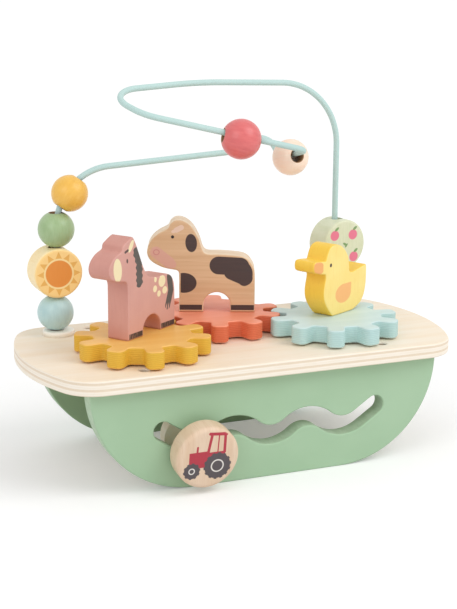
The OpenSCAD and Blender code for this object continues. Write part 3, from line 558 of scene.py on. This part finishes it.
ring = dot(s, z, (-15.6, 42.4), (2.3, 2.1)) * (1.0 - dot(s, z, (-15.6, 42.4), (1.6, 1.4)))
ink = dot(s, z, (-4.4, 53.2), (1.1, 1.15))
colour = (0.85 * pink * flat).mix(wood, shade(222, 170, 156))
colour = (0.75 * pale * flat).mix(colour, shade(236, 206, 190))
colour = (0.8 * ring * flat).mix(colour, shade(206, 132, 132))
dark = hair.mix(shade(62, 47, 46), shade(78, 60, 57))
colour = (brown * flat).mix(colour, dark)
colour = (ink * flat).mix(colour, shade(40, 30, 30))
coat_with(cow_wood, colour, 0.42 + 0.16 * hair, hair, 0.00005)
sawn("cow", near_side(cow_turn), 0.0012, "cow_figure", cow_wood, "cow_wheel")

duck_yellow, where = new_finish("duck_paint", IOR=1.45)
spot, s, t, z = animal_frame(where, "blue_gear", duck_turn, 28.16)
fur = mottle(spot, (1.3, 1.3, 13.0), 3.0, 0.6)
cloud = mottle(spot, (24.0, 24.0, 24.0))
flat = abs(t - 5.9).step(7.9, 8.35)
face = cloud.step(0.3, 0.7).mix(shade(255, 230, 143), shade(254, 223, 130))
edge = (0.5 * fur).mix(shade(251, 209, 80), shade(243, 197, 62))
colour = flat.mix(edge, face)
colour = (0.25 * fur.step(0.5, 0.8)).mix(colour, shade(226, 180, 76))
beak = dot(s, z, (5.2, 36.8), (6.4, 4.4), -8.0) * s.step(10.8, 10.4)
wing = dot(s, z, (35.2, 14.4), (9.4, 6.6)).most(bar(s, z, (35.2, 14.4), (44.6, 21.0)))
colour = (0.95 * beak * flat).mix(colour, shade(244, 172, 104))
colour = (0.95 * wing * flat).mix(colour, shade(251, 184, 116))
ink = dot(s, z, (19.5, 36.7), (1.25, 1.35))
colour = (ink * flat).mix(colour, shade(58, 44, 40))
coat_with(duck_yellow, colour, 0.40 + 0.14 * fur, fur, 0.00005)
sawn("duck", near_side(duck_turn), 0.0012, "duck_figure", duck_yellow, "duck_wheel")


# Wire. One length of steel wire, 4.2 mm thick, bent in a loop and dipped in mint paint; both
# ends stand in the board.
def bend(before, at, after, r):
    """A round corner of the wire: its middle, its two ends seen from there, and its angle."""
    p, q = before - at, after - at
    p /= np.linalg.norm(p)
    q /= np.linalg.norm(q)
    half = math.acos(np.clip(p @ q, -1.0, 1.0)) / 2
    mid = (p + q) / np.linalg.norm(p + q)
    centre = at + mid * r / math.sin(half)
    a = at + p * r / math.tan(half) - centre
    b = at + q * r / math.tan(half) - centre
    return centre, a, b, math.pi - 2 * half


def drawn(corners, radii, thick, around=24, along=10):
    """A round wire through corners: each corner is an arc tangent to its two legs, and a circle is
    carried along the line without twisting. Points, faces and normals."""
    line = [corners[:1]]
    for before, at, after, r in zip(corners[:-2], corners[1:-1], corners[2:], radii):
        centre, a, b, open_angle = bend(before, at, after, r)
        t = np.linspace(0.0, 1.0, max(6, int(along * open_angle / 0.35)))[:, None]
        swept = np.sin((1 - t) * open_angle) * a + np.sin(t * open_angle) * b
        line.append(centre + swept / math.sin(open_angle))
    line.append(corners[-1:])
    line = np.concatenate(line)
    way = np.roll(line, -1, 0) - np.roll(line, 1, 0)
    way[0], way[-1] = line[1] - line[0], line[-1] - line[-2]
    way /= np.linalg.norm(way, axis=1)[:, None]
    side = np.zeros_like(way)
    side[0] = np.cross(way[0], (0.0, 1.0, 0.0))
    for n in range(1, len(way)):
        side[n] = side[n - 1] - way[n] * (side[n - 1] @ way[n])
        side[n] /= np.linalg.norm(side[n])
    other = np.cross(way, side)
    turn = np.linspace(0.0, 2 * math.pi, around, endpoint=False)
    ring = np.cos(turn)[None, :, None] * side[:, None] + np.sin(turn)[None, :, None] * other[:, None]
    points = (line[:, None] + thick / 2 * ring).reshape(-1, 3)
    i, j = np.meshgrid(np.arange(len(line) - 1), np.arange(around), indexing="ij")
    k = (j + 1) % around
    faces = np.stack((i * around + j, i * around + k, (i + 1) * around + k, (i + 1) * around + j), -1)
    faces = faces.reshape(-1, 4).tolist()
    faces += [list(range(around))[::-1], list(range((len(line) - 1) * around, len(line) * around))]
    return points, faces, ring.reshape(-1, 3)


board_low, board_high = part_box("top_board")
board_middle_y = (board_low.y + board_high.y) / 2
wire_corners = [
    (-110, 48, 74), (-110, 48, 193.5), (20, 48, 201), (36.5, 44, 211.5), (44, 36, 209), (46, 26.5, 199),
    (45, -19, 209.5), (-63, 4, 235), (-79, 40, 247), (-7, 47, 250.5), (101.5, 48, 246.5), (101.5, 48, 74)]
wire_corners = np.array([(a / 1000, b / 1000 + board_middle_y, c / 1000) for a, b, c in wire_corners])
wire_bends = [r / 1000 for r in (40, 24, 10, 13, 11, 7, 22, 19, 300, 46)]
wire_thick = 0.0042
mint, where = new_finish("wire_paint", IOR=1.5, Specular_IOR_Level=0.15)
spot = set_out(where, (0.0, 0.0, 0.0))
speck = mottle(spot, (1.4, 1.4, 1.4), 3.0)
cloud = mottle(spot, (30.0, 30.0, 30.0))
colour = cloud.mix(shade(186, 214, 210), shade(196, 222, 218))
coat_with(mint, colour, 0.46 + 0.14 * speck, speck, 0.00004)
points, faces, normals = drawn(wire_corners, wire_bends, wire_thick)
laid_down("bent_wire", points, faces, mint, "base", ("wire",), normals)


# Ferrules. White plastic collars pressed into the board, round the two feet of the wire.
def turned(profile, foot, axis, around=64):
    """A round piece: a closed profile of radius and height is turned about an axis through foot.
    A radius of 0 gives one point on the axis."""
    profile = np.array(profile)
    axis = np.array(axis, float)
    axis /= np.linalg.norm(axis)
    u = np.cross(axis, (1.0, 0.0, 0.0) if abs(axis[0]) < 0.9 else (0.0, 1.0, 0.0))
    u /= np.linalg.norm(u)
    v = np.cross(axis, u)
    turn = np.linspace(0.0, 2 * math.pi, around, endpoint=False)
    spoke = np.cos(turn)[:, None] * u + np.sin(turn)[:, None] * v
    points = np.array(foot) + profile[:, None, :1] * spoke[None] + profile[:, None, 1:] * axis
    rows = len(profile)
    i, j = np.meshgrid(np.arange(rows), np.arange(around), indexing="ij")
    i2, k = (i + 1) % rows, (j + 1) % around
    faces = np.stack((i * around + j, i * around + k, i2 * around + k, i2 * around + j), -1)
    faces = faces[(profile[:, 0] > 0) | (np.roll(profile[:, 0], -1) > 0)]
    return points.reshape(-1, 3), faces.reshape(-1, 4)


def spun(piece_name, profile, foot, axis, material, body, replaced, around=64):
    """A turned piece with its poles merged and its faces outward."""
    points, faces = turned(profile, foot, axis, around)
    spots, same = np.unique(np.round(points, 7), axis=0, return_inverse=True)
    faces = same.reshape(-1)[faces]
    neat = []
    for face in faces.tolist():
        corner = list(dict.fromkeys(face))
        if len(corner) > 2:
            neat.append(corner)
    return laid_down(piece_name, spots, neat, material, body, replaced)


def arc(middle, r, start, end, count=6):
    """Points of a round corner in a profile, between two angles in degrees."""
    a = np.radians(np.linspace(start, end, count))
    return [(middle[0] + r * math.cos(p), middle[1] + r * math.sin(p)) for p in a]


collar, where = new_finish("ferrule_plastic", IOR=1.49)
spot = set_out(where, (0.0, 0.0, 0.0))
speck = mottle(spot, (0.8, 0.8, 0.8), 2.0)
colour = speck.mix(shade(245, 239, 226), shade(251, 246, 235))
coat_with(collar, colour, 0.32 + 0.12 * speck, speck, 0.00003)
bore_r, mouth_r, shank_r = 0.00215, 0.0029, 0.0045
flange_round, mouth_round, mouth_deep = 0.0013, 0.0007, 0.0012
for ferrule in ("left_ferrule", "right_ferrule"):
    low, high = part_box(ferrule)
    foot = ((low.x + high.x) / 2, (low.y + high.y) / 2, 0.0)
    face_z = board_high.z
    top = high.z
    rim = (high.x - low.x) / 2
    profile = [(bore_r, low.z), (shank_r, low.z), (shank_r, face_z), (rim, face_z)]
    profile += arc((rim - flange_round, top - flange_round), flange_round, 0, 90) + [(mouth_r, top)]
    profile += arc((mouth_r, top - mouth_round), mouth_round, 100, 180, 4) + [(bore_r, top - mouth_deep)]
    spun(ferrule + "_collar", profile, foot, (0.0, 0.0, 1.0), collar, "base", (ferrule,))


# Ball beads. Turned wooden balls, painted and lacquered, drilled through for the wire; the hole
# keeps bare wood inside a softened lip.
def ball_profile(size, hole, lip=0.0007):
    """A ball with a straight hole: the outer arc from lip to lip, then back through the hole."""
    half = size / 2
    edge = math.degrees(math.acos((hole + lip) / half))
    outer = arc((0.0, 0.0), half, -edge, edge, 41)
    high = outer[-1][1]
    return outer + [(hole + 0.3 * lip, high - 0.15 * lip), (hole, high - lip), (hole, lip - high),
                    (hole + 0.3 * lip, 0.15 * lip - high)]


def bead_finish(finish_name, middle, axis_turn, pale, deep, bare_radius=0.0048):
    """Lacquer paint on a turned ball: faint rings of grain under it, and bare wood in the hole painted darker
    than beech, as painted shade.
    """
    lacquer, where = new_finish(finish_name, IOR=1.5)
    spot = set_out(where, middle, axis_turn)
    x, y, z = spot.axes()
    rings = mottle(spot, (2.2, 9.0, 9.0), 3.0, 0.6)
    speck = mottle(spot, (0.9, 0.9, 0.9), 2.0)
    colour = rings.step(0.3, 0.75).mix(shade(*pale), shade(*deep))
    # Painted shade: the bare wood inside the hole is coloured a darker brown than beech.
    bore = (x * x + y * y).root().step(bare_radius * 1000 + 0.35, bare_radius * 1000 + 0.05)
    colour = bore.mix(colour, speck.mix(shade(172, 130, 92), shade(150, 110, 76)))
    coat_with(lacquer, colour, 0.25 + 0.14 * speck + 0.25 * bore, 0.6 * rings + 0.4 * speck, 0.00004)
    return lacquer


bead_hole_r = 0.00435
left_bend_middle = bend(*wire_corners[:3], wire_bends[0])[0]
for bead, pale, deep, leg in (
        ("blue_bead", (187, 217, 217), (177, 209, 211), None),
        ("green_bead", (165, 191, 144), (154, 181, 132), None),
        ("mint_bead", (190, 216, 206), (181, 209, 198), None),
        ("yellow_bead", (246, 194, 88), (239, 183, 76), "yellow"),
        ("red_bead", (227, 115, 114), (217, 104, 105), (6, 7)),
        ("peach_bead", (255, 230, 208), (255, 222, 198), (5, 6))):
    low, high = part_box(bead)
    middle = np.array((low + high) / 2)
    if leg is None:
        axis = np.array((0.0, 0.0, 1.0))
    elif leg == "yellow":
        spoke = middle - left_bend_middle
        axis = np.cross(spoke / np.linalg.norm(spoke), (0.0, 1.0, 0.0))
    else:
        axis = wire_corners[leg[1]] - wire_corners[leg[0]]
    axis /= np.linalg.norm(axis)
    size = max(high - low)
    tilt = math.acos(np.clip(axis[2], -1.0, 1.0))
    swing = math.atan2(axis[1], axis[0])
    lacquer = bead_finish(bead + "_lacquer", middle, (0.0, tilt, swing), pale, deep)
    profile = ball_profile(size, bead_hole_r)
    spun(bead + "_ball", profile, middle, axis, lacquer, bead, (bead,))


# Disc beads. Thick wooden discs drilled across, standing on the wire: one pale yellow with a
# printed sun, the other pale green with small fruit. Both flat faces carry the print.
sun_wood, where = new_finish("sun_bead_paint", IOR=1.48)
low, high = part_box("sun_bead")
spot = set_out(where, ((low + high) / 2)[:])
x, y, z = spot.axes()
tone, hair = planks(spot, shade(255, 233, 182), shade(255, 227, 170), shade(248, 214, 150),
                    (9.0, 60.0, 60.0), (0.6, 12.0, 12.0))
flat = abs(y).step(9.2, 9.7)
tone = flat.mix(tone, hair.mix(shade(255, 219, 148), shade(253, 213, 139)))
far = (x * x + z * z).root()
angle = x.math("ARCTAN2", z, x)
spoke = abs((angle * 6.0).sine())
ray_in = 10.6
ray_out = ray_in + 4.6 * (1.0 - spoke)
rays = (far - ray_out).step(0.25, -0.25) * far.step(ray_in - 0.5, ray_in)
disc = far.step(9.5, 9.1)
ring = far.step(9.2, 9.4) * far.step(ray_in + 0.2, ray_in - 0.2)
colour = (rays * flat).mix(tone, shade(236, 183, 96))
colour = (ring * flat).mix(colour, shade(252, 226, 164))
colour = (disc * flat).mix(colour, hair.mix(shade(235, 154, 72), shade(229, 144, 64)))
coat_with(sun_wood, colour, 0.36 + 0.14 * hair, hair, 0.00004)
dress("sun_bead", sun_wood)

apple_green, where = new_finish("apple_bead_paint", IOR=1.48)
low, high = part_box("apple_bead")
spot = set_out(where, ((low + high) / 2)[:], (0.0, 0.0, math.radians(10.0)))
x, y, z = spot.axes()
rings = mottle(spot, (2.4, 12.0, 12.0), 3.0, 0.6)
flat = abs(y).step(9.2, 9.7)
colour = rings.step(0.3, 0.75).mix(shade(224, 227, 197), shade(215, 220, 185))
fruit = dot(x, z, (7.0, 7.0), (3.9, 3.7)).most(dot(x, z, (8.2, -9.5), (3.9, 3.7)))
fruit = fruit.most(dot(x, z, (-9.5, 7.6), (3.9, 3.7))).most(dot(x, z, (-6.4, -8.8), (3.9, 3.7)))
leaf = dot(x, z, (8.8, 11.6), (2.1, 1.0), 35.0).most(dot(x, z, (10.0, -5.0), (2.1, 1.0), 35.0))
leaf = leaf.most(dot(x, z, (-7.7, 12.2), (2.1, 1.0), 35.0)).most(dot(x, z, (-4.6, -4.2), (2.1, 1.0), 35.0))
leaf = leaf.most(dot(x, z, (0.0, 0.4), (2.0, 0.9), -30.0)).most(dot(x, z, (1.2, -0.6), (1.8, 0.8), 50.0))
colour = (fruit * flat).mix(colour, shade(234, 122, 148))
colour = (leaf * flat).mix(colour, shade(128, 160, 104))
coat_with(apple_green, colour, 0.36 + 0.14 * rings, rings, 0.00004)
dress("apple_bead", apple_green)


# Knob. A turned beech disc on a peg that runs in the wavy slot, printed with a plain farm
# tractor; a second disc on the peg behind the panel keeps it in.
knob_droop = math.radians(8.0)
knob_turn = (math.pi / 2 + knob_droop, 0.0, 0.0)
knob_axis = np.array((0.0, -math.cos(knob_droop), -math.sin(knob_droop)))
panel_low, panel_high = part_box("front_panel")
peg_x, peg_z = -0.0515, 0.02875
peg_foot = np.array((peg_x, (panel_low.y + panel_high.y) / 2, peg_z))
knob_gap, knob_thick, knob_r, knob_round = 0.0035, 0.0155, 0.0215, 0.0032
back_h = (panel_high.y - panel_low.y) / 2 + knob_gap
face_h = back_h + knob_thick
printed, where = new_finish("tractor_knob_beech", IOR=1.47)
spot = set_out(where, peg_foot, knob_turn)
x, y, z = spot.axes()
tone, hair = planks(spot, shade(233, 207, 182), shade(225, 195, 166), shade(204, 169, 137),
                    (5.0, 60.0, 60.0), (0.5, 10.0, 10.0))
print_scale = 1.07
x, y = x / print_scale, y / print_scale
flat = z.step(face_h * 1000 - 1.2, face_h * 1000 - 0.4)
red = bar(x, y, (-12.6, -3.6), (-0.4, 5.2)).most(bar(x, y, (-9.6, -5.4), (4.4, 0.4)))
red = red.most(stroke(x, y, (0.2, 16.4), (11.0, 15.2), 2.0)).most(stroke(x, y, (1.4, 15.6), (-0.6, 4.0), 1.8))
red = red.most(stroke(x, y, (10.0, 14.6), (10.0, 3.6), 1.8)).most(stroke(x, y, (6.0, 14.8), (5.6, 4.0), 0.8))
red = red.most(bar(x, y, (-0.8, -1.0), (10.4, 4.2))).most(stroke(x, y, (-7.6, 4.6), (-7.4, 8.4), 1.3))
rear, fore = (5.8, -5.2), (-10.6, -7.0)
wheels = dot(x, y, rear, (8.3, 8.3)).most(dot(x, y, fore, (5.0, 5.0)))
for hub, size, lugs in ((rear, 8.9, 14.0), (fore, 5.5, 10.0)):
    around = x.math("ARCTAN2", y - hub[1], x - hub[0])
    wheels = wheels.most(dot(x, y, hub, (size, size)) * (around * lugs).sine().step(-0.2, 0.2))
hubs = (dot(x, y, rear, (4.2, 4.2)) * (1.0 - dot(x, y, rear, (3.4, 3.4)))).most(
    dot(x, y, fore, (2.1, 2.1)) * (1.0 - dot(x, y, fore, (1.4, 1.4))))
colour = (red * flat).mix(tone, hair.mix(shade(176, 48, 64), shade(187, 60, 75)))
colour = (wheels * flat).mix(colour, hair.mix(shade(78, 70, 74), shade(90, 82, 86)))
colour = (hubs * flat).mix(colour, shade(232, 226, 220))
coat_with(printed, colour, 0.42 + 0.16 * hair, hair, 0.00005)
round_r = knob_r - knob_round
profile = [(0.0, back_h)] + arc((round_r, back_h + knob_round), knob_round, -90, 0, 8)
profile += arc((round_r, face_h - knob_round), knob_round, 0, 90, 8) + [(0.0, face_h)]
spun("tractor_knob_disc", profile, peg_foot, knob_axis, printed, "knob", ("tractor_knob",), 96)
# Painted light: the peg and the keeper get a far paler beech than the axles, to lift them where they sit in
# the knob's shadow.
peg_lightened_beech = beech_finish("peg_beech_painted_light", peg_foot, knob_turn, (6.0, 6.0, 60.0), (0.5, 0.5, 12.0),
                        (255, 246, 228), (253, 239, 216), (238, 216, 186))
for peg_node in ("knob_peg", "knob_keeper"):
    dress(peg_node, peg_lightened_beech)
